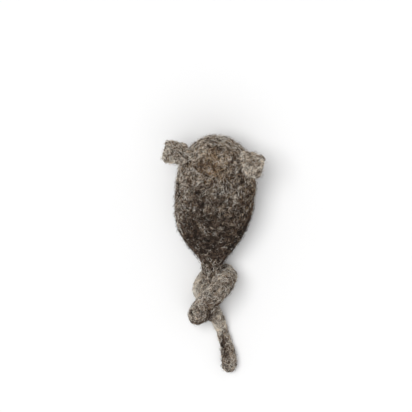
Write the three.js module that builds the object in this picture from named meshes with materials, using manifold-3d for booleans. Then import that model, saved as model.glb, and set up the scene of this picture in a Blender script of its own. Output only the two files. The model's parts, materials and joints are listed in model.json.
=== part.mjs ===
// A felted wool mouse, a cat's toy, lying on its belly. A hollow egg of thick felt is stuffed with loose wool
// round a wad of catnip. Its ears are two felt flaps, and its tail is a felted cord tied in an overhand knot.
// Millimetres: +Z up, +Y towards the nose, +X to the mouse's right. The origin lies on the belly's flat.
import * as THREE from "three";
import { mergeVertices } from "three/addons/utils/BufferGeometryUtils.js";
import Module from "manifold-3d";

// Body
const NOSE_LENGTH = 23.4; // from the widest section to the tip of the nose
const RUMP_LENGTH = 29.3; // from the widest section to the end round the tail
const BODY_WIDTH = 34.2;
const BODY_HEIGHT = 30.8; // before the belly is pressed flat
const BELLY_FLAT = 0.5; // how deep the belly is pressed flat
const RUMP_END_WIDTH = 11; // across the end that closes round the tail
const NOSE_ROUND = 2.15; // exponents of the two curves that taper the body
const RUMP_ROUND = 2.6;
const FELT_WALL = 3.5;
const THROAT_WIDTH = 4.8; // the opening at the rump that the filling goes in by
const THROAT_WALL = 1.8; // felt between the hollow's end and the end of the rump

// Filling
const FILLING_END = 20; // how far behind the widest section the stuffing ends
const WAD_SIZE = new THREE.Vector3(9, 16, 8);
const WAD_BEHIND = 3; // the wad's middle, behind the widest section
const WAD_CHANNEL_WIDTH = 5; // the way in to the wad's pocket

// Ears
const EAR_WIDTH = 9.2;
const EAR_NECK_WIDTH = 5.2;
const EAR_SHOULDER = 1.8; // over which the neck spreads to the full width
const EAR_CORNER = 1.6;
const EAR_THICKNESS = 2;
const EAR_EDGE = 0.5; // soft edge all round
const EAR_ROOT_RADIUS = 1.3; // the rolled root that the ear folds about
const EAR_ROOT_RISE = 0.9; // the root's axis above the felt
// Millimetres back from the nose and degrees down from the top of the head, then how the flap points:
// degrees forward from straight sideways, up from level, and its face tipped forward.
const EARS = {
  left_ear: { side: -1, fromNose: 9.3, round: 61, heading: 10, rise: 10, tip: 20, neck: 0.6, reach: 10.1 },
  right_ear: { side: 1, fromNose: 10.8, round: 49, heading: -14, rise: 16, tip: 24, neck: 0.9, reach: 8.4 },
};

// Tail: half thicknesses of the cord, where it is free, where the knot squeezes it and at its blunt end
const NECK = 4;
const BAND = 4.3;
const LOBE = 3.9;
const LOOSE = 3.5;
const PINCHED = 3;
const SQUEEZED = 2.6;
const THIN = 2.8;
const BUTT = 3.3;
const TAIL_STANDOFF = 2.1; // from the end of the rump to the bend at the tail's root
const END_SETBACK = 0.65; // how far the knotted stretch stands off each bend, in half thicknesses there

// The tail's middle line, from the bend at its root to its blunt end, with z above the floor.
const TAIL_ROUTE = [
  [0, 0, 12.8, NECK], // root
  [-0.6, -4, 12.2, LOOSE],
  [0.1, -6.9, 10.2, PINCHED], // dives between the left strand and the band
  [1.9, -9.7, 7, PINCHED],
  [1.7, -12.8, 4.1, PINCHED],
  [-0.8, -16, 2.8, PINCHED], // passes under the left strand, along the floor
  [-3.7, -19.4, 3.2, PINCHED],
  [-5.1, -22.4, 6.8, LOBE], // turns up round the lower left
  [-5.2, -23, 11.4, LOBE],
  [-4.3, -21.1, 16, BAND],
  [-1.3, -17.2, 18.4, BAND], // the band across the top
  [2.3, -12.9, 18.3, BAND],
  [5.4, -9.2, 16, BAND],
  [7.3, -6.7, 12.2, LOOSE], // turns down round the upper right
  [7.4, -5.1, 7.8, LOOSE],
  [5.2, -3.8, 4, LOOSE],
  [2, -4, 2.6, PINCHED], // passes under the root, along the floor
  [-1.3, -5.1, 2.5, PINCHED],
  [-4, -8.3, 3.8, PINCHED], // rises as the left strand
  [-4.8, -11.4, 7.2, PINCHED],
  [-3.8, -14, 9.8, PINCHED],
  [-1.2, -16.2, 10.2, SQUEEZED], // through the middle, under the band
  [1.1, -18.9, 8.6, SQUEEZED],
  [2.7, -22.5, 5.6, PINCHED], // out of the knot
  [4.2, -25.8, 3.4, THIN], // the bend of the free end
  [5.7, -29.3, 2.3, SQUEEZED],
  [7.6, -35, 2.3, THIN],
  [9.1, -40.5, 2.7, BUTT],
  [9.6, -44, 2.7, BUTT], // blunt end
];
const FREE_END_BEND = 24; // the route's point where the free end bends

// Colours
const BODY_FELT = 0x5c5349;
const EAR_FELT = 0x83776b;
const TAIL_FELT = 0x756b60;
const LOOSE_WOOL = 0xcdc3b2;
const DRIED_CATNIP = 0x6d7547;

// Fits and fineness
const CLEARANCE = 0.3; // between neighbouring pieces
const BODY_SIDES = 32;
const ROWS_PER_SIDE = 0.4; // rings in each half of an egg, for each of its sides
const FILLING_SIDES = 20;
const TAIL_SIDES = 10;
const TAIL_STEP = 1.5;
const BALL_SIDES = 20;
const SMALL_SIDES = 16;
const FLOOR_BLOCK = 1000; // larger than the whole mouse
const ROUTE_SAMPLES = 16; // per stretch of the route, for its lengths and its gaps

const AXIS_HEIGHT = BODY_HEIGHT / 2 - BELLY_FLAT;
const TAIL_HEIGHT = TAIL_ROUTE[0][2];
const ROOT = new THREE.Vector3(0, -RUMP_LENGTH - TAIL_STANDOFF, TAIL_HEIGHT);

const wasm = await Module();
wasm.setup();

// Solids: closed geometry to a solid that can be joined and cut, and back to a named mesh.
function solid(geometry, matrix) {
  const bare = geometry.clone().deleteAttribute("normal").deleteAttribute("uv");
  if (matrix) bare.applyMatrix4(matrix);
  const merged = mergeVertices(bare, 1e-4);
  return new wasm.Manifold(
    new wasm.Mesh({
      numProp: 3,
      vertProperties: new Float32Array(merged.attributes.position.array),
      triVerts: new Uint32Array(merged.index.array),
    }),
  );
}

function mesh(name, shape, colour) {
  const { vertProperties, triVerts } = shape.getMesh();
  const geometry = new THREE.BufferGeometry();
  geometry.setAttribute("position", new THREE.BufferAttribute(vertProperties, 3));
  geometry.setIndex(new THREE.BufferAttribute(triVerts, 1));
  geometry.computeVertexNormals();
  const material = new THREE.MeshStandardMaterial({ color: colour, roughness: 0.95, metalness: 0 });
  const made = new THREE.Mesh(geometry, material);
  made.name = name;
  return made;
}

const ball = (centre, radius) =>
  solid(
    new THREE.SphereGeometry(radius, BALL_SIDES, BALL_SIDES / 2),
    new THREE.Matrix4().setPosition(centre),
  );

// A closed skin over rings of points, anticlockwise round the way they run, with a point at each end.
function loft(rings, startPoint, endPoint) {
  const sides = rings[0].length;
  const points = [...rings.flat(), startPoint, endPoint];
  const start = points.length - 2;
  const end = points.length - 1;
  const last = (rings.length - 1) * sides;
  const index = [];
  for (let j = 0; j < sides; j += 1) {
    const k = (j + 1) % sides;
    index.push(start, k, j, end, last + j, last + k);
    for (let ring = 0; ring < last; ring += sides) {
      index.push(ring + j, ring + k, ring + sides + j);
      index.push(ring + k, ring + sides + k, ring + sides + j);
    }
  }
  return solid(new THREE.BufferGeometry().setFromPoints(points).setIndex(index));
}

// Everything above the floor, to press flat what lies on it.
const floorBlock = new THREE.BoxGeometry(FLOOR_BLOCK, FLOOR_BLOCK, FLOOR_BLOCK);
floorBlock.translate(0, 0, -FLOOR_BLOCK / 2);
const onFloor = (shape) => shape.subtract(solid(floorBlock));

// Body forms: an egg that tapers to a round nose and to a narrow rump.
const OUTSIDE = {
  nose: NOSE_LENGTH,
  rump: RUMP_LENGTH,
  halfWidth: BODY_WIDTH / 2,
  halfHeight: BODY_HEIGHT / 2,
  endRadius: RUMP_END_WIDTH / 2,
};

function inset(depth) {
  return {
    nose: NOSE_LENGTH - depth,
    rump: RUMP_LENGTH - THROAT_WALL,
    halfWidth: BODY_WIDTH / 2 - depth,
    halfHeight: BODY_HEIGHT / 2 - depth,
    endRadius: THROAT_WIDTH / 2,
  };
}

function surfacePoint(form, y, angle) {
  const behind = Math.max(0, -y) / form.rump;
  const ahead = Math.min(1, Math.max(0, y) / form.nose);
  const front = (1 - ahead ** NOSE_ROUND) ** (1 / NOSE_ROUND);
  const swell = 1 - behind ** RUMP_ROUND;
  const halfWidth = form.endRadius + (form.halfWidth - form.endRadius) * swell;
  const halfHeight = form.endRadius + (form.halfHeight - form.endRadius) * swell;
  const height = AXIS_HEIGHT + (TAIL_HEIGHT - AXIS_HEIGHT) * behind ** 2;
  return new THREE.Vector3(
    halfWidth * front * Math.cos(angle),
    y,
    height + halfHeight * front * Math.sin(angle),
  );
}

function egg(form, sides, end = form.rump) {
  const rows = Math.round(sides * ROWS_PER_SIDE);
  const quarter = Math.PI / 2 / rows;
  const ring = (y) =>
    Array.from({ length: sides }, (_, j) => surfacePoint(form, y, (j * 2 * Math.PI) / sides));
  const rings = [];
  for (let i = 1; i <= rows; i += 1) rings.push(ring(form.nose * Math.cos(i * quarter)));
  for (let i = 1; i <= rows; i += 1) rings.push(ring((-end * i) / rows));
  const middle = (row) => row.reduce((sum, p) => sum.add(p), new THREE.Vector3()).divideScalar(sides);
  return loft(rings, new THREE.Vector3(0, form.nose, AXIS_HEIGHT), middle(rings.at(-1)));
}

// Ears: a flap that spreads from a narrow neck, with a rolled root along its Y axis.
function earShape({ neck, reach }) {
  const half = EAR_WIDTH / 2;
  const halfNeck = EAR_NECK_WIDTH / 2;
  const shoulder = neck + EAR_SHOULDER;
  const outline = new THREE.Shape();
  outline.moveTo(0, -halfNeck).lineTo(neck, -halfNeck);
  outline.quadraticCurveTo(neck, -half, shoulder, -half).lineTo(reach - EAR_CORNER, -half);
  outline.absarc(reach - EAR_CORNER, EAR_CORNER - half, EAR_CORNER, -Math.PI / 2, 0);
  outline.absarc(reach - EAR_CORNER, half - EAR_CORNER, EAR_CORNER, 0, Math.PI / 2);
  outline.lineTo(shoulder, half).quadraticCurveTo(neck, half, neck, halfNeck).lineTo(0, halfNeck);
  const flap = new THREE.ExtrudeGeometry(outline, {
    depth: EAR_THICKNESS - 2 * EAR_EDGE,
    bevelThickness: EAR_EDGE,
    bevelSize: EAR_EDGE,
    bevelOffset: -EAR_EDGE,
    bevelSegments: 1,
    curveSegments: 5,
  }).translate(0, 0, EAR_EDGE - EAR_THICKNESS / 2);
  return solid(flap).add(earRoot(0));
}

const earRoot = (grow) =>
  solid(
    new THREE.CylinderGeometry(
      EAR_ROOT_RADIUS + grow,
      EAR_ROOT_RADIUS + grow,
      EAR_NECK_WIDTH + 2 * grow,
      SMALL_SIDES,
    ),
  );

// Where an ear sits: X out along the flap, Y along its root so that a positive turn folds it up.
function earSeat({ side, fromNose, round, heading, rise, tip }) {
  const y = NOSE_LENGTH - fromNose;
  const angle = THREE.MathUtils.degToRad(90 - side * round);
  const small = 0.01;
  const point = surfacePoint(OUTSIDE, y, angle);
  const along = surfacePoint(OUTSIDE, y + small, angle).sub(surfacePoint(OUTSIDE, y - small, angle));
  const across = surfacePoint(OUTSIDE, y, angle + small).sub(surfacePoint(OUTSIDE, y, angle - small));
  const normal = along.cross(across).normalize();
  const [turn, lift, roll] = [heading, rise, tip].map(THREE.MathUtils.degToRad);
  const out = new THREE.Vector3(
    side * Math.cos(turn) * Math.cos(lift),
    Math.sin(turn) * Math.cos(lift),
    Math.sin(lift),
  );
  const upright = new THREE.Vector3(0, 0, 1).addScaledVector(out, -Math.sin(lift)).normalize();
  const root = out.clone().cross(upright).applyAxisAngle(out, -side * roll);
  return new THREE.Matrix4()
    .makeBasis(out, root, out.clone().cross(root))
    .setPosition(point.addScaledVector(normal, EAR_ROOT_RISE));
}

// Tail: one smooth line through the route, thick or thin as the route says.
const tailLine = new THREE.CatmullRomCurve3(
  TAIL_ROUTE.map(([x, y, z]) => new THREE.Vector3(ROOT.x + x, ROOT.y + y, z)),
);
const stretches = TAIL_ROUTE.length - 1;
tailLine.arcLengthDivisions = stretches * ROUTE_SAMPLES;
const tailLengths = tailLine.getLengths();
const tailLength = tailLengths.at(-1);
const lengthAt = (point) => tailLengths[point * ROUTE_SAMPLES];

function halfThickness(u) {
  const place = tailLine.getUtoTmapping(u) * stretches;
  const before = Math.min(Math.floor(place), stretches - 1);
  return THREE.MathUtils.lerp(TAIL_ROUTE[before][3], TAIL_ROUTE[before + 1][3], place - before);
}

function tailTube(from, to) {
  const steps = Math.ceil((to - from) / TAIL_STEP);
  const side = new THREE.Vector3(1, 0, 0);
  const rings = [];
  for (let i = 0; i <= steps; i += 1) {
    const u = (from + ((to - from) * i) / steps) / tailLength;
    const tangent = tailLine.getTangentAt(u);
    side.addScaledVector(tangent, -side.dot(tangent)).normalize();
    const up = tangent.clone().cross(side);
    const ring = Array.from({ length: TAIL_SIDES }, (_, j) => {
      const angle = (j * 2 * Math.PI) / TAIL_SIDES;
      return tailLine
        .getPointAt(u)
        .addScaledVector(side, halfThickness(u) * Math.cos(angle))
        .addScaledVector(up, halfThickness(u) * Math.sin(angle));
    });
    rings.push(ring);
  }
  return loft(rings, tailLine.getPointAt(from / tailLength), tailLine.getPointAt(to / tailLength));
}

// The least gap between stretches of the tail that lie further apart along it than the cord bends round in.
function leastGap() {
  const count = stretches * ROUTE_SAMPLES;
  const samples = Array.from({ length: count + 1 }, (_, i) => ({
    point: tailLine.getPointAt(i / count),
    radius: halfThickness(i / count),
    along: (tailLength * i) / count,
  }));
  let least = Infinity;
  for (const a of samples) {
    for (const b of samples) {
      if (b.along - a.along < Math.PI * BAND) continue;
      least = Math.min(least, a.point.distanceTo(b.point) - a.radius - b.radius);
    }
  }
  return least;
}
console.log(`tail ${tailLength.toFixed(1)} mm long, least gap in its knot ${leastGap().toFixed(2)} mm`);

// Pieces
const group = new THREE.Group();

const rootSeat = ball(ROOT, NECK + CLEARANCE);
let shell = onFloor(egg(OUTSIDE, BODY_SIDES)).subtract(egg(inset(FELT_WALL), FILLING_SIDES));
shell = shell.subtract(rootSeat);
for (const [name, ear] of Object.entries(EARS)) {
  const seat = earSeat(ear);
  shell = shell.subtract(earRoot(CLEARANCE).transform(seat.elements));
  const flap = mesh(name, earShape(ear), EAR_FELT);
  flap.applyMatrix4(seat);
  group.add(flap);
}
group.add(mesh("felt_shell", shell, BODY_FELT));

const wad = (grow) =>
  solid(
    new THREE.SphereGeometry(1, FILLING_SIDES, FILLING_SIDES / 2),
    new THREE.Matrix4()
      .makeTranslation(0, -WAD_BEHIND, AXIS_HEIGHT)
      .scale(WAD_SIZE.clone().multiplyScalar(0.5).addScalar(grow)),
  );
const channel = solid(
  new THREE.CylinderGeometry(WAD_CHANNEL_WIDTH / 2, WAD_CHANNEL_WIDTH / 2, FILLING_END, SMALL_SIDES),
  new THREE.Matrix4().makeTranslation(0, -WAD_BEHIND - FILLING_END / 2, AXIS_HEIGHT),
);
const stuffing = egg(inset(FELT_WALL + CLEARANCE), FILLING_SIDES, FILLING_END);
group.add(mesh("wool_stuffing", stuffing.subtract(wad(CLEARANCE)).subtract(channel), LOOSE_WOOL));
group.add(mesh("catnip_wad", wad(0), DRIED_CATNIP));

const bend = lengthAt(FREE_END_BEND);
const bendPoint = tailLine.getPointAt(bend / tailLength);
const knot = tailTube(END_SETBACK * NECK, bend - END_SETBACK * THIN)
  .subtract(rootSeat)
  .subtract(ball(bendPoint, THIN + CLEARANCE));
const freeEnd = tailTube(bend, tailLength)
  .add(ball(bendPoint, THIN))
  .add(ball(tailLine.getPointAt(1), BUTT));
group.add(mesh("tail_root", ball(ROOT, NECK), TAIL_FELT));
group.add(mesh("tail_knot", onFloor(knot), TAIL_FELT));
group.add(mesh("tail_tip", onFloor(freeEnd), TAIL_FELT));

export default group;
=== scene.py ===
"""The looks of a felted wool mouse, a cat's toy: lumpy felt, curly fibres laid into it and a fuzzy edge.

Lengths are in millimetres until a mesh is made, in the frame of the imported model: +Z up, +Y towards the nose.
"""
import json
import math

import bpy
import numpy as np
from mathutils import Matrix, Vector, noise
from mathutils.bvhtree import BVHTree


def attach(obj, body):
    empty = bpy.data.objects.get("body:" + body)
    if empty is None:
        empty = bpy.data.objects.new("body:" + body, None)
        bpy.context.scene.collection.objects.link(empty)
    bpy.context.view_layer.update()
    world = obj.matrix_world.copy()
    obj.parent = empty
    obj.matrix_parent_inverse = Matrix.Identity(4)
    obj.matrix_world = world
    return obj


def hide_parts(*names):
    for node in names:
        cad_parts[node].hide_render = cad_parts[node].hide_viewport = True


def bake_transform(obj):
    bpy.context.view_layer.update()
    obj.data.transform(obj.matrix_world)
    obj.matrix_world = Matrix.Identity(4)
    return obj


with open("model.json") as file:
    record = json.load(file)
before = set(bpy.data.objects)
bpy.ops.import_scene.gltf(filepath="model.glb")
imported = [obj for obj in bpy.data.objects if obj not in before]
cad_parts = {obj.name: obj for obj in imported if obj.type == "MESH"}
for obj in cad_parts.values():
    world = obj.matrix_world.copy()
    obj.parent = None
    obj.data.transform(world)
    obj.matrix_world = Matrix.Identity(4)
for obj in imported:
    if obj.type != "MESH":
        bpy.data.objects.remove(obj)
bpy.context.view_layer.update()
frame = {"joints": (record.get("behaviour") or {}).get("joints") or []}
JOINTS = {joint["name"]: joint for joint in frame["joints"]}
MM = 0.001
FULL_TURN = 2 * math.pi


def pivot(joint):
    return np.array(JOINTS[joint]["pos_m"]) / MM


# Camera: straight above, turned a little against the mouse
PHOTO_TURN = 2.6  # degrees
PHOTO_MIDDLE = (-3.7, -7.05)
PHOTO_WIDTH = 177.2  # of the picture, at the height of the mouse
MOUSE_HEIGHT = 15.0
LENS, SENSOR = 300.0, 36.0

# Light
LAMPS = {  # where each shines from, its strength and its width in degrees
    "soft_key": ((-0.3, 0.05, 1.0), 1.75, 35.0),
    "soft_fill": ((0.1, -0.7, 0.9), 0.7, 60.0),
}
SKY_STRENGTH = 0.43
FLOOR_SIZE, FLOOR_PALENESS = 2000.0, 0.9

# Tail: middle line from the bend at its root to its blunt end, and half thicknesses
ROOT = pivot("tail_swing")
NECK, BAND, LOBE, LOOSE, PINCHED, SQUEEZED, THIN, BUTT = 4.0, 4.3, 3.9, 3.5, 3.0, 2.6, 2.8, 3.3
TAIL_ROUTE = [  # x and y from the bend, z from the floor
    (0, 0, 12.8, NECK), (-0.6, -4, 12.2, LOOSE), (0.1, -6.9, 10.2, PINCHED), (1.9, -9.7, 7, PINCHED),
    (1.7, -12.8, 4.1, PINCHED), (-0.8, -16, 2.8, PINCHED), (-3.7, -19.4, 3.2, PINCHED),
    (-5.1, -22.4, 6.8, LOBE), (-5.2, -23, 11.4, LOBE), (-4.3, -21.1, 16, BAND), (-1.3, -17.2, 18.4, BAND),
    (2.3, -12.9, 18.3, BAND), (5.4, -9.2, 16, BAND), (7.3, -6.7, 12.2, LOOSE), (7.4, -5.1, 7.8, LOOSE),
    (5.2, -3.8, 4, LOOSE), (2, -4, 2.6, PINCHED), (-1.3, -5.1, 2.5, PINCHED), (-4, -8.3, 3.8, PINCHED),
    (-4.8, -11.4, 7.2, PINCHED), (-3.8, -14, 9.8, PINCHED), (-1.2, -16.2, 10.2, SQUEEZED),
    (1.1, -18.9, 8.6, SQUEEZED), (2.7, -22.5, 5.6, PINCHED), (4.2, -25.8, 3.4, THIN),
    (5.7, -29.3, 2.3, SQUEEZED), (7.6, -35, 2.3, THIN), (9.1, -40.5, 2.7, BUTT), (9.6, -44, 2.7, BUTT),
]
SAMPLES = 24  # of each stretch of the route
TIP_START, KNOT_END = 20, 22  # points inside the knot: the felt of the free end and of the knot overlap here
MEETING_GAP = 0.16  # between strands of felt that swell, or are pressed flat, where they meet
MEETING_REACH, MEETING_SWELL = 2.4, 1.3  # how near a strand counts, and the most that felt swells to it
MEETING_SIDE = [(0.5, 0), (0.9, 1)]  # share of the swelling, by how squarely a side faces the other
STRAND_REACH = 9.5  # stretches of tail this far apart along it are other strands
STRAND_STEP, STRAND_SIDES = 0.6, 30
AT_ONCE = 500  # points that are set against the whole route together
COARSE = 6  # every sixth sample is enough to find what a strand meets
CAP_RINGS = 6  # in the rounded end
STRAND_LUMPS = ((0.3, 5.0), (0.2, 2.2), (0.12, 0.9))  # height and size
KNOT_DIAMETER, TIP_DIAMETER = 7.4, 6.0
STRAND_INSET = 0.5  # how much thinner the felt is than its solid, for the fibres that stand off it
GROOVE = ((5.9, -60.9), (6.5, -68.1))  # pressed into the top of the free end
GROOVE_WIDTH, GROOVE_DEPTH = 1.6, 0.9
GROOVE_FACING, GROOVE_ABOVE = 0.2, 2.5  # the top: how far a side faces up, and how high a fibre lies

# Body
NOSE, RUMP, HALF_WIDTH, HALF_HEIGHT, AXIS = 23.4, 29.3, 17.1, 15.4, 14.9
RUMP_RADIUS, NOSE_ROUND, RUMP_ROUND = 5.5, 2.15, 2.6
WALL, THROAT_RADIUS, THROAT_WALL = 3.5, 2.4, 1.8
FELT_INSET = 0.5  # how much smaller the felt is than its solid, for the fibres that stand off it
BODY_LUMPS = ((0.45, 8.0), (0.3, 3.6), (0.16, 1.5))  # height and size
BODY_SIDES, BODY_FRONT_RINGS, BODY_STEP = 150, 46, 0.5
INNER_SIDES, INNER_FRONT_RINGS, INNER_STEP = 64, 16, 1.0
NECK_LINE = [  # -y and radius, where the body's felt runs on round the tail's root
    (27, 7.7), (28, 6.75), (29, 5.8), (30.1, 5.0), (31.4, 4.5), (33, 4.05), (34.6, 3.3),
]
NECK_DRIFT, NECK_FALL = 0.2, 0.15  # to the left and down, for each millimetre past the root
LEAN = [  # sideways, by y
    (-30, 0), (-28.4, -0.2), (-24.9, -0.65), (-21.5, -0.85),
    (-18.1, -0.8), (-12.9, -0.6), (-9.5, -0.4), (0, 0),
]

# Filling
FILLING_END = 20.0  # how far back the loose wool reaches
CLEARANCE = 0.3
WAD_HALF, WAD_MIDDLE = np.array([4.5, 8.0, 4.0]), np.array([0.0, -3.0, AXIS])
WAD_DENTS, FILLING_DENTS = (0.9, 1.2), (1.0, 2.5)  # depth and size

# Ears: the way each flap points, then its corners and a crease as seen from above
EAR_THICKNESS = 2.0
EAR_SIDES, EAR_ROWS = 96, 12
EAR_CORNER_CUT = 0.14  # of each side
EAR_EDGE = 5  # the higher, the more of the flap is full thickness
EAR_CREASE_WIDTH, EAR_CREASE_DEPTH = 1.6, 0.6
EAR_RAGGED, EAR_LUMPS = ((0.6, 1.6), (0.35, 0.7)), ((0.5, 3.0), (0.25, 1.2))  # height and size
EARS = {
    "left_ear": dict(
        out=(-0.9698, 0.1710, 0.1736),
        corners=[(-11.2, 15.4), (-14.6, 19.0), (-21.7, 20.2), (-23.2, 11.4), (-15.4, 10.6), (-11.2, 12.4)],
        crease=((-17.7, 16.4), (-11.5, 12.0)), pale=0.75),
    "right_ear": dict(
        out=(0.9327, -0.2326, 0.2756),
        corners=[(10.0, 9.6), (12.2, 7.6), (18.6, 5.6), (20.4, 15.0), (11.0, 17.1), (9.6, 14.6)],
        crease=((9.4, 16.0), (10.4, 8.6)), pale=0.85),
}

# Wool shades, from 0, dark brown, to 1, off white
FELT_DARKER = 0.4  # the felt under the fibres lies in their shade
# painted shade: in the ears' creases, in the groove on the free end and in the cleft between the knot and the
# free end
EAR_CREASE_SHADE, GROOVE_SHADE, CLEFT_SHADE = 0.45, 0.75, 0.4
CLEFT, CLEFT_WIDTH = ((-0.9, -51.6), (0.7, -56.6)), 2.6  # a line of painted shadow in the cleft between the knot and the free end
MEETING_SHADE = [(1.0, 0.55), (1.3, 0.35), (1.65, 0)]  # painted shade where strands meet, by the half thicknesses from another strand
MEETING_SHADE_SHARE = [(2.5, 0.3), (4, 1), (16, 1), (17, 0.5), (18, 0.5), (19, 1)]  # share of that painted shade, by the route's points
SHADE_SPREAD, FUZZ_SPREAD, BODY_FUZZ_SPREAD = 0.55, 0.2, 0.25  # between locks of wool and between loose hairs
FIBRE_SPREAD = 0.07  # within a lock
PALE_LOCKS, PALE_BY = 0.1, 0.28  # the share of locks that are paler than the rest
PALE_EVENNESS, DARK_EVENNESS = [(0.9, 1), (1.0, 0.8)], [(0.1, 0.75), (0.35, 1)]  # by shade
BODY_SHADES = [  # by y
    (-34, 0.28), (-31, 0.19), (-28, 0.12), (-22, 0.05), (-16, 0.1),
    (-8, 0.26), (0, 0.35), (8, 0.44), (23, 0.65),
]
SIDE_LIGHT_AND_SHADE = [(-14, 0.11), (-8, 0), (8, 0), (14, -0.06)]  # painted light on the left side and painted shade on the right, by x
TAIL_SHADES = [  # the wool's own tone with painted light and shade, by the route's points
    # painted light: paler on the lobe by the neck, the left strand and the top of the free end, where the knot
    # shades them; painted shadow: the dip at 21.8, where the free end leaves the knot
    (0, 0.42), (2, 0.46), (4, 0.52), (7, 0.44), (8.5, 0.44), (10, 0.55), (12.5, 0.64), (14, 0.76),
    (16, 0.8), (17.5, 0.98), (20, 1.02), (21.2, 0.9), (21.8, 0.5), (22.2, 0.62), (22.8, 0.85),
    (24, 0.93), (24.9, 0.97), (25.8, 0.7), (26.5, 0.53), (28, 0.42),
]
LIT_BAND = [(7, 0), (8.5, 0.24), (13, 0.22), (14, 0)]  # painted light on the band's upper left side and painted shade on its lower right, by the route's points
LIT_SIDE = np.array([-0.7, 0.7, 0.2])
FILLING_SHADE = 0.75
BODY_BLOTCHES, TAIL_BLOTCHES = ((0.1, 7.0), (0.06, 3.0)), ((0.1, 4.0),)  # strength and size
EAR_BLOTCHES, FILLING_BLOTCHES = ((0.1, 3.0),), ((0.2, 2.0),)
GOLD_SPOTS = (  # x, y, half sizes and strength, on the top
    (-0.3, 5.3, 4.4, 1.7, 1.0), (-1.2, 11.5, 9.0, 6.5, 0.55), (16.0, -4.0, 4.0, 14.0, 0.4),
)
WOOL = [
    (0.0, (30, 23, 19)), (0.25, (73, 60, 51)), (0.5, (117, 100, 88)),
    (0.72, (156, 145, 133)), (0.88, (196, 187, 174)), (1.0, (244, 239, 229)),
]
FELT_GOLD, GOLD_STRAY = 0.5, 0.6  # how golden the felt under the spots is, and a stray fibre anywhere
GOLDEN_WOOL = [(0.0, (38, 25, 14)), (0.25, (86, 60, 38)), (0.5, (134, 99, 67)), (1.0, (236, 202, 158))]
CATNIP = [(0.0, (52, 50, 26)), (0.4, (92, 92, 48)), (0.7, (128, 122, 70)), (1.0, (164, 150, 104))]
TANGLES = ((0.55, 1.6, 0.045), (0.8, 2.2, 0.05), (1.2, 1.2, 0.06))  # the felt's lines: scale, twist, width
TANGLE_PALER, TANGLE_GAPS = 0.4, 0.15  # how much paler the lines are, and how much darker the felt between them
FELT_ROUGHNESS, TANGLE_SMOOTHER = 0.97, 0.15

# Fibres: rings of each, lengths, curl in radians a millimetre, stand-off, rise of the free ends, radii,
# how many lie side by side in a lock, and how far in radians they stray from the tail's direction
LAID = dict(
    rings=7, length=(1.8, 4.4), curl=0.9, height=(0.2, 0.65), lift=(0.0, 0.1), radius=(0.055, 0.105), lock=2)
FUZZ = dict(rings=6, length=(0.8, 2.4), curl=0.7, height=(0.0, 0.1), lift=(0.5, 1.7), radius=(0.025, 0.045))
TAIL_LAID = dict(LAID, length=(2.0, 4.8), curl=0.6, radius=(0.045, 0.09), stray=0.6)
TAIL_FUZZ = dict(FUZZ, lift=(0.4, 1.4), stray=0.8)
BODY_FIBRES, BODY_FUZZ, EAR_FIBRES, EAR_FUZZ = 5250, 6000, 3000, 500
KNOT_FIBRES, KNOT_FUZZ, TIP_FIBRES, TIP_FUZZ = 5250, 1600, 5250, 600
LOCK_STEP, LOCK_STRAY, LOCK_SHIFT, LOCK_SPLAY = 0.12, 0.03, 0.4, 0.25  # of the fibres in a lock
WAVE_PACE = (0.7, 1.5)  # radians a ring
DIPS, DIP_MIDDLE, DIP_SWING = (0.2, 0.8), 0.35, 0.65  # waves in a fibre's length, in and out of the felt
LOOP = (1.2, 2.4)  # radians of the arch that a loose hair makes
END_REACH = 0.25  # of a fibre's length, over which each end comes down to the felt
FIBRE_END, FIBRE_TAPER = 0.3, 3  # thickness of an end, and how suddenly a fibre thins to it
UNDERSIDE = [(0.1, 0), (0.2, 0.4), (6, 1)]  # share of the fibres that are laid, by height
FLOOR_GAP = 0.03

# A fibre's cell in its bake map: its three sides next to each other, its ends below and above
CELL_LOW, CELL_HIGH, CELL_LEFT, CELL_SIDE = 0.15, 0.85, 0.05, 0.3
CELL_ENDS = [[[0.1, 0.02], [0.9, 0.02], [0.5, 0.12]], [[0.1, 0.98], [0.9, 0.98], [0.5, 0.88]]]

SEEDS = dict(
    body=1, knot=3, tip=8, ears=20, filling=31, wad=40,
    filling_shade=32, body_shade=50, tail_shade=60, ear_shade=70)
rng = np.random.default_rng(7)


def srgb(rgb):
    """A colour as 0 to 255 numbers, as Blender's linear RGBA."""
    linear = [c / 255 / 12.92 if c <= 10 else ((c / 255 + 0.055) / 1.055) ** 2.4 for c in rgb]
    return (*linear, 1.0)


def unit(v):
    return v / np.maximum(np.linalg.norm(v, axis=-1, keepdims=True), 1e-9)


def ease(t):
    t = np.clip(t, 0, 1)
    return t * t * (3 - 2 * t)


def steps(values, table):
    """Values read off a table of pairs, with straight lines between them."""
    return np.interp(values, *zip(*table))


def lumps(points, size, seed):
    """Smooth noise from about -1 to 1 at each point, with lumps of that size."""
    shift = Vector((seed * 13.7, seed * 7.1, seed * 3.3))
    return np.array([noise.noise(Vector(p) / size + shift) for p in points])


def all_lumps(points, sizes, seed):
    return sum(height * lumps(points, size, seed + i) for i, (height, size) in enumerate(sizes))


def near_line(points, ends, width):
    """1 on a straight line seen from above, down to 0 at half that width from it."""
    a, b = (np.array(end) for end in ends)
    along = np.clip((points[:, :2] - a) @ (b - a) / ((b - a) @ (b - a)), 0, 1)
    away = np.linalg.norm(points[:, :2] - a - along[:, None] * (b - a), axis=1)
    return ease(1 - 2 * away / width)


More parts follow.
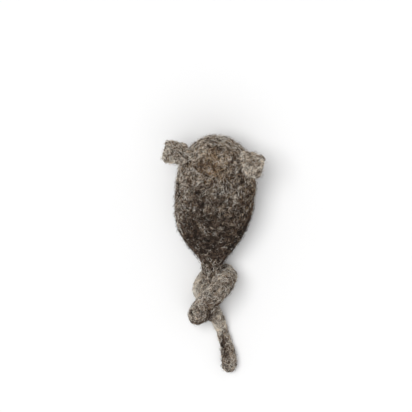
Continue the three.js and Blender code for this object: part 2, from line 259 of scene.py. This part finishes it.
def camera_and_light():
    scene = bpy.context.scene
    data = bpy.data.cameras.new("camera")
    data.lens, data.sensor_width = LENS, SENSOR
    camera = bpy.data.objects.new("camera", data)
    away = PHOTO_WIDTH * LENS / SENSOR
    camera.location = [c * MM for c in (*PHOTO_MIDDLE, MOUSE_HEIGHT + away)]
    camera.rotation_euler = (0, 0, math.radians(PHOTO_TURN))
    scene.collection.objects.link(camera)
    scene.camera = camera
    scene.view_settings.view_transform = "Standard"

    for name, (way, strength, width) in LAMPS.items():
        sun = bpy.data.lights.new(name, "SUN")
        sun.energy, sun.angle = strength, math.radians(width)
        lamp = bpy.data.objects.new(name, sun)
        lamp.rotation_euler = Vector(way).to_track_quat("Z", "Y").to_euler()
        scene.collection.objects.link(lamp)

    scene.world = bpy.data.worlds.new("studio")
    scene.world.use_nodes = True
    sky = scene.world.node_tree.nodes["Background"]
    sky.inputs["Color"].default_value = (1, 1, 1, 1)
    sky.inputs["Strength"].default_value = SKY_STRENGTH


# Meshes


def add_mesh(name, points, faces, material):
    """A smooth mesh object from points in millimetres, with those points kept as the attribute rest."""
    mesh = bpy.data.meshes.new(name)
    corners = np.concatenate([np.asarray(f).ravel() for f in faces]).astype(np.int32)
    sizes = np.concatenate([np.full(len(f), np.shape(f)[1]) for f in faces]).astype(np.int32)
    mesh.vertices.add(len(points))
    mesh.vertices.foreach_set("co", (np.asarray(points) * MM).astype(np.float32).ravel())
    mesh.loops.add(len(corners))
    mesh.loops.foreach_set("vertex_index", corners)
    mesh.polygons.add(len(sizes))
    mesh.polygons.foreach_set("loop_start", np.concatenate([[0], np.cumsum(sizes)[:-1]]).astype(np.int32))
    mesh.update(calc_edges=True)
    mesh.polygons.foreach_set("use_smooth", np.ones(len(sizes), bool))
    rest = mesh.attributes.new("rest", "FLOAT_VECTOR", "POINT")
    rest.data.foreach_set("vector", np.asarray(points, np.float32).ravel())
    mesh.materials.append(material)
    made = bpy.data.objects.new(name, mesh)
    bpy.context.scene.collection.objects.link(made)
    return made


def give(made, name, values):
    made.data.attributes.new(name, "FLOAT", "POINT").data.foreach_set("value", np.asarray(values, np.float32))


def tube(rings, start, end):
    """Points and faces of a closed tube: its rings of points, then a middle point at each end."""
    count, sides, _ = rings.shape
    j = np.arange(sides)
    k = (j + 1) % sides
    base = np.arange(count - 1)[:, None] * sides
    quads = np.stack([base + j, base + k, base + sides + k, base + sides + j], -1).reshape(-1, 4)
    first, last = count * sides, (count - 1) * sides
    fans = np.concatenate([
        np.stack([np.full(sides, first), k, j], -1),
        np.stack([np.full(sides, first + 1), last + j, last + k], -1),
    ])
    return np.concatenate([rings.reshape(-1, 3), [start], [end]]), (quads, fans)


def triangles_of(faces):
    return np.concatenate([f[:, [0, i, i + 1]] for f in faces for i in range(1, f.shape[1] - 1)])


def normals_of(points, faces):
    total = np.zeros_like(points)
    a, b, c = triangles_of(faces).T
    flat = np.cross(points[b] - points[a], points[c] - points[a])
    for corner in (a, b, c):
        np.add.at(total, corner, flat)
    return unit(total)


class Felt:
    """A surface that fibres are laid on."""

    def __init__(self, points, faces):
        self.triangles = triangles_of(faces)
        self.corners = points[self.triangles]
        a, b, c = self.corners.transpose(1, 0, 2)
        flat = np.cross(b - a, c - a)
        self.normals = unit(flat)
        self.weights = np.linalg.norm(flat, axis=1) * steps(self.corners.mean(1)[:, 2], UNDERSIDE)
        self.tree = BVHTree.FromPolygons(points.tolist(), self.triangles.tolist())

    def sample(self, count):
        at = rng.choice(len(self.weights), count, p=self.weights / self.weights.sum())
        u, v = rng.random((2, count, 1))
        u, v = np.where(u + v > 1, 1 - u, u), np.where(u + v > 1, 1 - v, v)
        a, b, c = self.corners[at].transpose(1, 0, 2)
        return a + u * (b - a) + v * (c - a), self.normals[at]

    def nearest(self, points):
        found = [self.tree.find_nearest(p) for p in points.tolist()]
        return np.array([f[0] for f in found]), np.array([f[1] for f in found])


def turned(v, axis, angle):
    angle = angle[:, None]
    return v * np.cos(angle) + np.cross(axis, v) * np.sin(angle)


def flattened(v, normal):
    """v without its part along the normal, as a unit vector."""
    return unit(v - normal * (v * normal).sum(1, keepdims=True))


def lay_fibres(felt, count, rings, length, curl, height, lift, radius, lock=1, grain=None, stray=0.0):
    """Curly fibres in locks, that follow a surface and dip into it: middle lines, normals and radii."""
    locks = count // lock
    place, normal = felt.sample(locks)
    heading = flattened(rng.normal(size=(locks, 3)), normal)
    if grain is not None:
        along = grain(place) * rng.choice([-1, 1], locks)[:, None]
        heading = turned(flattened(along, normal), normal, rng.normal(0, stray, locks))
    size = rng.uniform(*length, locks)
    bend, wave = rng.normal(0, curl, (2, locks))
    phase, pace = rng.uniform(0, FULL_TURN, locks), rng.uniform(*WAVE_PACE, locks)
    tall, rise, loop = (rng.uniform(*span, locks) for span in (height, lift, LOOP))
    dip, dips = rng.uniform(0, FULL_TURN, locks), rng.uniform(*DIPS, locks)

    place, normal, heading, size, bend, wave, phase, pace, tall, rise, loop, dip, dips = (
        np.repeat(values, lock, axis=0)
        for values in (place, normal, heading, size, bend, wave, phase, pace, tall, rise, loop, dip, dips))
    count = locks * lock
    thick = rng.uniform(*radius, count)
    if lock > 1:
        row = np.tile(np.arange(lock), locks) - (lock - 1) / 2
        aside = LOCK_STEP * row + rng.normal(0, LOCK_STRAY, count)
        ahead = rng.normal(0, LOCK_SHIFT, count)
        place = place + aside[:, None] * np.cross(normal, heading) + ahead[:, None] * heading
        place, normal = felt.nearest(place)
        bend = bend + rng.normal(0, LOCK_SPLAY, count)
    step = size / (rings - 1)
    paths, ups = np.zeros((2, count, rings, 3))
    for k in range(rings):
        t = k / (rings - 1)
        up = tall * (DIP_MIDDLE + DIP_SWING * np.sin(dip + dips * FULL_TURN * t))
        up = up * min(1, t / END_REACH, (1 - t) / END_REACH) + rise * np.sin(loop * t)
        paths[:, k] = place + normal * up[:, None]
        ups[:, k] = normal
        if k < rings - 1:
            place, normal = felt.nearest(place + heading * step[:, None])
            turn = (bend + wave * np.sin(phase + pace * k)) * step
            heading = turned(flattened(heading, normal), normal, turn)
    paths[..., 2] = np.maximum(paths[..., 2], thick[:, None] + FLOOR_GAP)
    return paths, ups, thick


def fibre_mesh(name, fibres, shade, gold, material):
    """Three-sided closed tubes round the fibres' lines, tapered to their ends, each with its own shade."""
    paths, ups, thick = fibres
    count, rings, _ = paths.shape
    tangent = unit(np.gradient(paths, axis=1))
    side = unit(np.cross(tangent, ups))
    up = np.cross(side, tangent)
    taper = 1 - (1 - FIBRE_END) * np.abs(np.linspace(-1, 1, rings)) ** FIBRE_TAPER
    angle = np.arange(3) * FULL_TURN / 3 + FULL_TURN / 4
    ring = np.cos(angle)[:, None] * side[:, :, None] + np.sin(angle)[:, None] * up[:, :, None]
    points = (paths[:, :, None] + (thick[:, None] * taper)[:, :, None, None] * ring).reshape(-1, 3)
    per = rings * 3
    j, k = np.arange(3), (np.arange(3) + 1) % 3
    base = np.arange(rings - 1)[:, None] * 3
    quads = np.stack([base + j, base + 3 + j, base + 3 + k, base + k], -1).reshape(-1, 4)
    caps = np.array([[0, 1, 2], [per - 1, per - 2, per - 3]])
    first = np.arange(count)[:, None, None] * per
    made = add_mesh(name, points, [(first + quads).reshape(-1, 4), (first + caps).reshape(-1, 3)], material)
    give(made, "shade", np.repeat(shade, per))
    give(made, "gold", np.repeat(gold, per))
    bake_map(made, count, rings)
    return made


def bake_map(made, count, rings):
    """A bake map, with a cell for each fibre."""
    wide = math.ceil(math.sqrt(count))
    cell = np.stack([np.arange(count) % wide, np.arange(count) // wide], -1)[:, None, None]
    heights = np.linspace(CELL_LOW, CELL_HIGH, rings)
    low, high = np.repeat(heights[:-1], 3), np.repeat(heights[1:], 3)
    left = CELL_LEFT + CELL_SIDE * np.tile(np.arange(3), rings - 1)
    right = left + CELL_SIDE
    sides = np.stack([np.stack(at, -1) for at in ((left, low), (left, high), (right, high), (right, low))], 1)
    places = np.concatenate([((cell + part) / wide).reshape(-1, 2) for part in (sides, np.array(CELL_ENDS))])
    made.data.uv_layers.new(name="OFBake").data.foreach_set("uv", places.astype(np.float32).ravel())


# Materials


class Nodes:
    """A short way to write a material's nodes."""

    def __init__(self, name):
        self.material = bpy.data.materials.new(name)
        self.material.use_nodes = True
        self.tree = self.material.node_tree
        self.shader = self.tree.nodes["Principled BSDF"]

    def put(self, socket, value):
        if isinstance(value, bpy.types.NodeSocket):
            self.tree.links.new(value, socket)
        else:
            socket.default_value = value

    def add(self, kind, inputs, **settings):
        node = self.tree.nodes.new(kind)
        for key, value in settings.items():
            setattr(node, key, value)
        for key, value in inputs.items():
            self.put(node.inputs[key], value)
        return node

    def set(self, **inputs):
        for key, value in inputs.items():
            self.put(self.shader.inputs[key.replace("_", " ")], value)

    def math(self, operation, a, b=0.0, clamp=False):
        return self.add("ShaderNodeMath", {0: a, 1: b}, operation=operation, use_clamp=clamp).outputs[0]

    def attribute(self, name, output="Fac"):
        return self.add("ShaderNodeAttribute", {}, attribute_name=name).outputs[output]

    def noise(self, place, scale, detail=2.0, distortion=0.0):
        inputs = {"Vector": place, "Scale": scale, "Detail": detail, "Distortion": distortion}
        return self.add("ShaderNodeTexNoise", inputs).outputs["Fac"]

    def spread(self, value, width, middle=0.0):
        """A noise, from 0 to 1, spread over that width about that middle."""
        return self.math("ADD", self.math("MULTIPLY", self.math("SUBTRACT", value, 0.5), width), middle)

    def ramp(self, value, stops):
        node = self.add("ShaderNodeValToRGB", {"Fac": value})
        points = node.color_ramp.elements
        while len(points) < len(stops):
            points.new(0.5)
        for point, (at, colour) in zip(points, stops):
            point.position, point.color = at, srgb(colour)
        return node.outputs["Color"]

    def mix(self, share, a, b):
        node = self.add("ShaderNodeMix", {}, data_type="RGBA")
        for socket, value in ((node.inputs[0], share), (node.inputs[6], a), (node.inputs[7], b)):
            self.put(socket, value)
        return node.outputs[2]

    def bump(self, height, strength, distance):
        inputs = {"Height": height, "Strength": strength, "Distance": distance * MM}
        return self.add("ShaderNodeBump", inputs).outputs[0]


def fibre_material():
    """Wool fibres: each has its own shade, a little uneven along its length, and some are golden."""
    n = Nodes("wool_fibres")
    place = n.attribute("rest", "Vector")
    shade = n.math("ADD", n.attribute("shade"), n.spread(n.noise(place, scale=0.9), width=0.3), clamp=True)
    n.set(
        Base_Color=n.mix(n.attribute("gold"), n.ramp(shade, WOOL), n.ramp(shade, GOLDEN_WOOL)),
        Roughness=n.spread(n.noise(place, scale=2.0), width=0.2, middle=0.75),
        Specular_IOR_Level=0.25,
    )
    return n.material


def felt_material(name):
    """The felt under the loose fibres: tangled lines of pale and dark wool with a bump of their own."""
    n = Nodes(name)
    place = n.attribute("rest", "Vector")
    tangle = 0.0
    for scale, twist, width in TANGLES:
        turn = n.add("ShaderNodeMapping", {"Vector": place, "Rotation": (scale * 3, scale * 7, scale * 5)})
        ridge = n.noise(turn.outputs[0], scale, distortion=twist)
        off = n.math("ABSOLUTE", n.math("SUBTRACT", ridge, 0.5))
        tangle = n.math("MAXIMUM", n.math("SUBTRACT", 1.0, n.math("DIVIDE", off, width), clamp=True), tangle)
    blotches = n.spread(n.noise(place, scale=0.35, detail=4.0), width=0.7)
    shade = n.math("ADD", n.attribute("shade"), blotches)
    gaps = n.math("SUBTRACT", shade, TANGLE_GAPS)
    level = n.math("ADD", n.math("MULTIPLY", tangle, TANGLE_PALER), gaps, clamp=True)
    n.set(
        Base_Color=n.mix(n.attribute("gold"), n.ramp(level, WOOL), n.ramp(level, GOLDEN_WOOL)),
        Roughness=n.math("SUBTRACT", FELT_ROUGHNESS, n.math("MULTIPLY", tangle, TANGLE_SMOOTHER)),
        Normal=n.bump(tangle, strength=0.6, distance=0.25),
        Specular_IOR_Level=0.2,
    )
    return n.material


def catnip_material():
    """Dried leaves, crumbled: flakes of green and straw, each with its own shade and edge."""
    n = Nodes("dried_catnip")
    place = n.attribute("rest", "Vector")
    flakes = n.add("ShaderNodeTexVoronoi", {"Vector": place, "Scale": 0.9})
    crumbs = n.spread(n.noise(place, scale=2.5, detail=4.0), width=0.5)
    shade = n.math("ADD", flakes.outputs["Color"], crumbs, clamp=True)
    n.set(
        Base_Color=n.ramp(shade, CATNIP),
        Roughness=n.spread(n.noise(place, scale=4.0), width=0.2, middle=0.85),
        Normal=n.bump(flakes.outputs["Distance"], strength=0.8, distance=0.4),
        Specular_IOR_Level=0.2,
    )
    return n.material


def floor_material():
    n = Nodes("pale_floor")
    n.set(Base_Color=(FLOOR_PALENESS,) * 3 + (1,), Roughness=0.9, Specular_IOR_Level=0.0)
    return n.material


# Tail


def route(points):
    """A smooth line through the points, a centripetal Catmull-Rom curve, with the half thickness along it."""
    p = np.asarray(points, float)
    ends = np.concatenate([[2 * p[0] - p[1]], p, [2 * p[-1] - p[-2]]])
    line = []
    for i in range(len(p) - 1):
        p0, p1, p2, p3 = ends[i:i + 4, :3]
        d0, d1, d2 = (np.linalg.norm(b - a) ** 0.5 for a, b in ((p0, p1), (p1, p2), (p2, p3)))
        m1 = ((p1 - p0) / d0 - (p2 - p0) / (d0 + d1) + (p2 - p1) / d1) * d1
        m2 = ((p2 - p1) / d1 - (p3 - p1) / (d1 + d2) + (p3 - p2) / d2) * d1
        for t in np.arange(SAMPLES) / SAMPLES:
            at = (2 * t**3 - 3 * t**2 + 1) * p1 + (t**3 - 2 * t**2 + t) * m1
            at = at + (3 * t**2 - 2 * t**3) * p2 + (t**3 - t**2) * m2
            line.append((*at, ends[i + 1, 3] * (1 - t) + ends[i + 2, 3] * t))
    line.append(tuple(p[-1]))
    return np.array(line)


def along_of(line):
    return np.concatenate([[0], np.cumsum(np.linalg.norm(np.diff(line[:, :3], axis=0), axis=1))])


TAIL = route([(ROOT[0] + x, ROOT[1] + y, z, r) for x, y, z, r in TAIL_ROUTE])
TAIL_ALONG = along_of(TAIL)
TAIL_WAYS = unit(np.gradient(TAIL[:, :3], axis=0))
CAP = np.sin(np.linspace(0, math.pi / 2, CAP_RINGS + 2)[1:-1])  # how far out the rings of the rounded end stand


def strand(first, last, seed, rounded=False):
    """A stretch of tail's felt, flat where it meets the floor or another stretch: points, faces and path."""
    line, along = TAIL[first:last + 1], TAIL_ALONG[first:last + 1]
    at = np.linspace(along[0], along[-1], math.ceil((along[-1] - along[0]) / STRAND_STEP) + 1)
    centres = np.stack([np.interp(at, along, line[:, k]) for k in range(3)], 1)
    radii = np.interp(at, along, line[:, 3]) - STRAND_INSET
    if rounded:
        reach, way = radii[-1], unit(centres[-1] - centres[-2])
        centres = np.concatenate([centres, centres[-1] + way * CAP[:, None] * reach])
        radii = np.concatenate([radii, reach * np.sqrt(1 - CAP**2)])
        at = np.concatenate([at, at[-1] + CAP * reach])
    tangents = unit(np.gradient(centres, axis=0))
    across = [np.array([1.0, 0, 0])]
    for t in tangents:
        across.append(unit(across[-1] - t * across[-1].dot(t)))
    across = np.array(across[1:])
    angle = np.arange(STRAND_SIDES) * FULL_TURN / STRAND_SIDES
    around = np.cos(angle)[:, None] * across[:, None]
    around = around + np.sin(angle)[:, None] * np.cross(tangents, across)[:, None]
    rings = centres[:, None] + radii[:, None, None] * around
    flat = rings.reshape(-1, 3)
    swell = all_lumps(flat, STRAND_LUMPS, seed)
    swell -= GROOVE_DEPTH * near_line(flat, GROOVE, GROOVE_WIDTH) * (around[..., 2].ravel() > GROOVE_FACING)
    rings = rings + swell.reshape(rings.shape[:2])[..., None] * around
    for i, centre in enumerate(centres):
        other = TAIL[::COARSE][np.abs(TAIL_ALONG[::COARSE] - at[i]) > STRAND_REACH]
        way = other[:, :3] - centre
        apart = np.linalg.norm(way, axis=1)
        thick = other[:, 3] - STRAND_INSET
        near = apart < radii[i] + thick + MEETING_REACH
        way, apart, thick = unit(way[near]), apart[near], thick[near]
        wall = (apart**2 + radii[i] ** 2 - thick**2) / (2 * apart) - MEETING_GAP / 2
        short = wall - (rings[i] - centre) @ way.T
        facing = ease(steps(around[i] @ way.T, MEETING_SIDE))
        rings[i] += (facing * np.clip(short, 0, MEETING_SWELL)).max(1, initial=0)[:, None] * around[i]
        for w, plane in zip(way, wall):
            rings[i] -= np.clip((rings[i] - centre) @ w - plane, 0, None)[:, None] * w
    rings[..., 2] = np.maximum(rings[..., 2], FLOOR_GAP)
    return *tube(rings, centres[0], centres[-1]), centres


def nearest_on_tail(points):
    """The sample of the route that each point lies by, and its half thicknesses from another strand."""
    found, others = [], []
    for part in np.array_split(points, len(points) // AT_ONCE + 1):
        away = np.linalg.norm(part[:, None] - TAIL[None, :, :3], axis=2) / TAIL[:, 3]
        at = away.argmin(1)
        elsewhere = np.abs(TAIL_ALONG - TAIL_ALONG[at, None]) > STRAND_REACH
        found.append(at)
        others.append(np.where(elsewhere, away, np.inf).min(1))
    return np.concatenate(found), np.concatenate(others)


def tail_grain(points):
    return TAIL_WAYS[nearest_on_tail(points)[0]]


def tail_shade(points):
    """How pale the tail's wool is along its route, with painted light and shade: a lit and a shaded side of the
    band, painted shade in the groove and the cleft, and where strands meet.
    """
    at, other = nearest_on_tail(points)
    pale = steps(at / SAMPLES, TAIL_SHADES) + all_lumps(points, TAIL_BLOTCHES, SEEDS["tail_shade"])
    # painted light on the band's upper left side, painted shade on its lower right
    side = unit(points - TAIL[at, :3]) @ LIT_SIDE
    lit = side * np.abs(side) * steps(at / SAMPLES, LIT_BAND)
    # painted shade in the groove on the top of the free end
    shaded_groove = GROOVE_SHADE * near_line(points, GROOVE, GROOVE_WIDTH) * (points[:, 2] > GROOVE_ABOVE)
    # painted shadow in the cleft between the knot and the free end
    shaded_cleft = CLEFT_SHADE * near_line(points, CLEFT, CLEFT_WIDTH)
    # painted shade where strands meet
    return pale + lit - shaded_groove - shaded_cleft - steps(other, MEETING_SHADE) * steps(at / SAMPLES, MEETING_SHADE_SHARE)


def no_gold(points):
    return np.zeros(len(points))


def evenness(shade):
    """How much the shades differ: less in the palest and the darkest wool."""
    return steps(shade, PALE_EVENNESS) * steps(shade, DARK_EVENNESS)


def dress(piece, points, felt, shade_of, gold_of, coats, bends, slot, **coat_settings):
    """Gives a felt piece its shades, and lays coats of fibres on its outside."""
    shade = shade_of(points)
    give(piece, "shade", shade - FELT_DARKER * evenness(shade))
    give(piece, "gold", FELT_GOLD * gold_of(points))
    for name, count, settings, spread in coats:
        lock = settings.get("lock", 1)
        fibres = lay_fibres(felt, count, **settings, **coat_settings)
        paths = fibres[0]
        middles = paths[:, settings["rings"] // 2]
        locks = len(paths) // lock
        draws = [rng.normal(0, spread, locks), *rng.random((2, locks))]
        own, pale, golden = np.repeat(draws, lock, 1)
        shade = shade_of(middles)
        shade = shade + own * evenness(shade) + PALE_BY * (pale < PALE_LOCKS)
        shade = shade + rng.normal(0, FIBRE_SPREAD, len(paths))
        gold = np.clip(gold_of(middles) * golden + GOLD_STRAY * golden**3, 0, 1)
        made = fibre_mesh(name, fibres, np.clip(shade, 0, 1), gold, wool)
        bends(made)


camera_and_light()
wool = fibre_material()
tail_felt = felt_material("tail_felt")
ear_felt = felt_material("ear_felt")

knot_points, knot_faces, knot_path = strand(0, KNOT_END * SAMPLES, SEEDS["knot"])
tip_points, tip_faces, tip_path = strand(TIP_START * SAMPLES, len(TAIL) - 1, SEEDS["tip"], rounded=True)
knot = add_mesh("tail_knot_felt", knot_points, knot_faces, tail_felt)
tip = add_mesh("tail_tip_felt", tip_points, tip_faces, tail_felt)


def knot_bends(piece):
    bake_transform(piece)


def tip_bends(piece):
    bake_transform(piece)


for piece, node, path, thick, far_end, bends in (
    (knot, "tail_knot", knot_path, KNOT_DIAMETER, "knot", knot_bends),
    (tip, "tail_tip", tip_path, TIP_DIAMETER, "bare", tip_bends),
):
    bends(piece)
    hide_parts(node)

dress(knot, knot_points, Felt(knot_points, knot_faces), tail_shade, no_gold, [
    *(("tail_knot_wool_" + letter, KNOT_FIBRES, TAIL_LAID, SHADE_SPREAD) for letter in "abc"),
    ("tail_knot_fuzz", KNOT_FUZZ, TAIL_FUZZ, FUZZ_SPREAD),
], knot_bends, "tail_felt", grain=tail_grain)
dress(tip, tip_points, Felt(tip_points, tip_faces), tail_shade, no_gold, [
    ("tail_tip_wool", TIP_FIBRES, TAIL_LAID, SHADE_SPREAD),
    ("tail_tip_fuzz", TIP_FUZZ, TAIL_FUZZ, FUZZ_SPREAD),
], tip_bends, "tail_felt", grain=tail_grain)


# Body


def egg(y, inset, rump, rump_radius):
    """Half width, half height and middle's height, at y, of a surface that far inside the body's."""
    ahead = min(1.0, max(0.0, y) / (NOSE - inset))
    behind = min(1.0, max(0.0, -y) / rump)
    front = (1 - ahead**NOSE_ROUND) ** (1 / NOSE_ROUND)
    swell = 1 - behind**RUMP_ROUND
    wide, high = (
        (rump_radius + (half - inset - rump_radius) * swell) * front for half in (HALF_WIDTH, HALF_HEIGHT))
    return wide, high, AXIS + (ROOT[2] - AXIS) * behind**2


def ellipse(wide, high, y, z, sides):
    angle = np.arange(sides) * FULL_TURN / sides
    return np.stack([wide * np.cos(angle), np.full(sides, y), z + high * np.sin(angle)], -1)


def egg_surface(inset, rump, rump_radius, end, sides, front_rings, step):
    ys = (NOSE - inset) * np.cos(np.arange(1, front_rings + 1) * math.pi / 2 / front_rings)
    ys = np.concatenate([ys, -np.arange(step, end + step / 2, step)])
    rings = []
    for y in ys:
        wide, high, z = egg(y, inset, rump, rump_radius)
        rings.append(ellipse(wide, high, y, z, sides))
    return np.array(rings)


def body_outside():
    start, end = NECK_LINE[0][0], NECK_LINE[-1][0]
    rings = egg_surface(FELT_INSET, RUMP, RUMP_RADIUS - FELT_INSET, start - BODY_STEP,
                        BODY_SIDES, BODY_FRONT_RINGS, BODY_STEP)
    neck = []
    for y in np.arange(start, end, BODY_STEP):
        radius = steps(y, NECK_LINE) - FELT_INSET
        past = max(0.0, y + ROOT[1])
        ring = ellipse(radius, radius, -y, ROOT[2] - NECK_FALL * past, BODY_SIDES)
        neck.append(ring - (NECK_DRIFT * past, 0, 0))
    rings = np.concatenate([rings, neck])
    points, faces = tube(rings, (0, NOSE - FELT_INSET, AXIS), rings[-1].mean(0))
    points = points + normals_of(points, faces) * all_lumps(points, BODY_LUMPS, SEEDS["body"])[:, None]
    points[:, 0] += steps(points[:, 1], LEAN)
    points[:, 2] = np.maximum(points[:, 2], FLOOR_GAP)
    return points, faces


def hollow(inset, rump, rump_radius, end):
    rings = egg_surface(inset, rump, rump_radius, end, INNER_SIDES, INNER_FRONT_RINGS, INNER_STEP)
    return tube(rings, (0, NOSE - inset, AXIS), rings[-1].mean(0))


def together(outside, inside):
    """One mesh of an outside and the surface of a hollow in it."""
    (points, faces), (inner, inner_faces) = outside, inside
    inner_faces = tuple(f[:, ::-1] + len(points) for f in inner_faces)
    return np.concatenate([points, inner]), (*faces, *inner_faces)


def body_bends(piece):
    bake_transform(piece)


def body_shade(points):
    """How pale the body's wool is: paler at the head, dark on the lower back, with painted light on the left
    side and painted shade on the right.
    """
    # painted light on the left side, painted shade on the right
    pale = steps(points[:, 1], BODY_SHADES) + steps(points[:, 0], SIDE_LIGHT_AND_SHADE)
    return pale + all_lumps(points, BODY_BLOTCHES, SEEDS["body_shade"])


def body_gold(points):
    x, y, z = points.T
    total = sum(
        strength * np.exp(-((x - a) / wide) ** 2 - ((y - b) / long) ** 2)
        for a, b, wide, long, strength in GOLD_SPOTS)
    return np.clip(total, 0, 1) * (z > AXIS)


outside, outside_faces = body_outside()
throat = RUMP - THROAT_WALL
body_points, body_faces = together((outside, outside_faces), hollow(WALL, throat, THROAT_RADIUS, throat))
body = add_mesh("felt_body", body_points, body_faces, felt_material("body_felt"))
body_bends(body)
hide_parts("felt_shell", "tail_root")
dress(body, body_points, Felt(outside, outside_faces), body_shade, body_gold, [
    *(("body_wool_" + letter, BODY_FIBRES, LAID, SHADE_SPREAD) for letter in "abcdef"),
    ("body_fuzz", BODY_FUZZ, FUZZ, BODY_FUZZ_SPREAD),
], body_bends, "body_felt")


# Ears


def ear_surface(name, form, seed):
    """A flap of felt with ragged edges and a crease, from its corners seen from above: points and faces."""
    fold = name + "_fold"
    at, root, out = pivot(fold), np.array(JOINTS[fold]["axis"]), np.array(form["out"])
    up = np.cross(root, out)
    corners = []
    for x, y in form["corners"]:
        across = np.array([x - at[0], y - at[1]])
        spot = np.array([*across, -across @ up[:2] / up[2]])
        corners.append((spot @ out, spot @ root))
    corners = np.array(corners)
    middle = corners.mean(0)
    corners = corners[np.argsort(np.arctan2(*(corners - middle).T[::-1]))]
    after = np.roll(corners, -1, 0)
    cut = EAR_CORNER_CUT
    line = np.stack([corners * (1 - cut) + after * cut, corners * cut + after * (1 - cut)], 1).reshape(-1, 2)
    line = np.concatenate([line, line[:1]])
    along = along_of(line)
    places = np.arange(EAR_SIDES) * along[-1] / EAR_SIDES
    edge = np.stack([np.interp(places, along, line[:, k]) for k in range(2)], 1) - middle
    ragged = all_lumps(np.column_stack([edge, np.zeros(EAR_SIDES)]), EAR_RAGGED, seed)
    edge = edge + unit(edge) * ragged[:, None]
    share = np.sin(np.linspace(0, math.pi / 2, EAR_ROWS + 1)[1:])
    thick = EAR_THICKNESS / 2 * np.sqrt(1 - share**EAR_EDGE)
    rings = [np.column_stack([middle + edge * s, np.full(EAR_SIDES, h)]) for s, h in zip(share, thick)]
    rings += [ring * (1, 1, -1) for ring in rings[-2::-1]]
    local, faces = tube(np.array(rings), (*middle, EAR_THICKNESS / 2), (*middle, -EAR_THICKNESS / 2))
    top = local[:, 2] > 0
    local[:, 2] += all_lumps(local, EAR_LUMPS, seed + 2)
    points = at + local @ np.array([out, root, up])
    pressed = near_line(points, form["crease"], EAR_CREASE_WIDTH) * top * EAR_CREASE_DEPTH
    return points - pressed[:, None] * up, faces


for seed, (name, form) in enumerate(EARS.items(), start=SEEDS["ears"]):
    points, faces = ear_surface(name, form, seed)

    def ear_bends(piece):
        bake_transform(piece)

    def ear_shade(places):
        crease_shading = near_line(places, form["crease"], EAR_CREASE_WIDTH)
        # painted shade along the ear's crease
        return form["pale"] + all_lumps(places, EAR_BLOTCHES, SEEDS["ear_shade"]) - EAR_CREASE_SHADE * crease_shading

    ear = add_mesh(name + "_felt", points, faces, ear_felt)
    ear_bends(ear)
    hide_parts(name)
    dress(ear, points, Felt(points, faces), ear_shade, no_gold, [
        (name + "_wool", EAR_FIBRES, LAID, SHADE_SPREAD),
        (name + "_fuzz", EAR_FUZZ, FUZZ, FUZZ_SPREAD),
    ], ear_bends, "ear_felt")


# Filling


def ellipsoid(middle, half, sides=40, rings=24):
    made = []
    for turn in np.arange(1, rings) * math.pi / rings:
        wide, long, high = half * (np.sin(turn), np.cos(turn), np.sin(turn))
        made.append(ellipse(wide, high, long, 0, sides))
    return tube(np.array(made) + middle, middle + (0, half[1], 0), middle - (0, half[1], 0))


def roughened(surface, depth, size, seed):
    """A surface with dents up to about that deep."""
    points, faces = surface
    dents = depth * (1 + lumps(points, size, seed)) / 2
    return points - normals_of(points, faces) * dents[:, None], faces


wad_points, wad_faces = roughened(ellipsoid(WAD_MIDDLE, WAD_HALF), *WAD_DENTS, SEEDS["wad"])
wad = add_mesh("crumbled_catnip", wad_points, wad_faces, catnip_material())
filling = hollow(WALL + CLEARANCE, throat, THROAT_RADIUS, FILLING_END)
filling = roughened(filling, *FILLING_DENTS, SEEDS["filling"])
filling_points, filling_faces = together(filling, ellipsoid(WAD_MIDDLE, WAD_HALF + CLEARANCE))
stuffing = add_mesh("loose_wool", filling_points, filling_faces, wool)
give(stuffing, "shade", FILLING_SHADE + all_lumps(filling_points, FILLING_BLOTCHES, SEEDS["filling_shade"]))
for piece, node, slot in ((wad, "catnip_wad", "dried_catnip"), (stuffing, "wool_stuffing", "loose_wool")):
    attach(piece, "body")
    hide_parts(node)


# Floor

reach = FLOOR_SIZE / 2
floor = add_mesh("floor", [(-reach, -reach, 0), (reach, -reach, 0), (reach, reach, 0), (-reach, reach, 0)],
                 [np.array([[0, 1, 2, 3]])], floor_material())
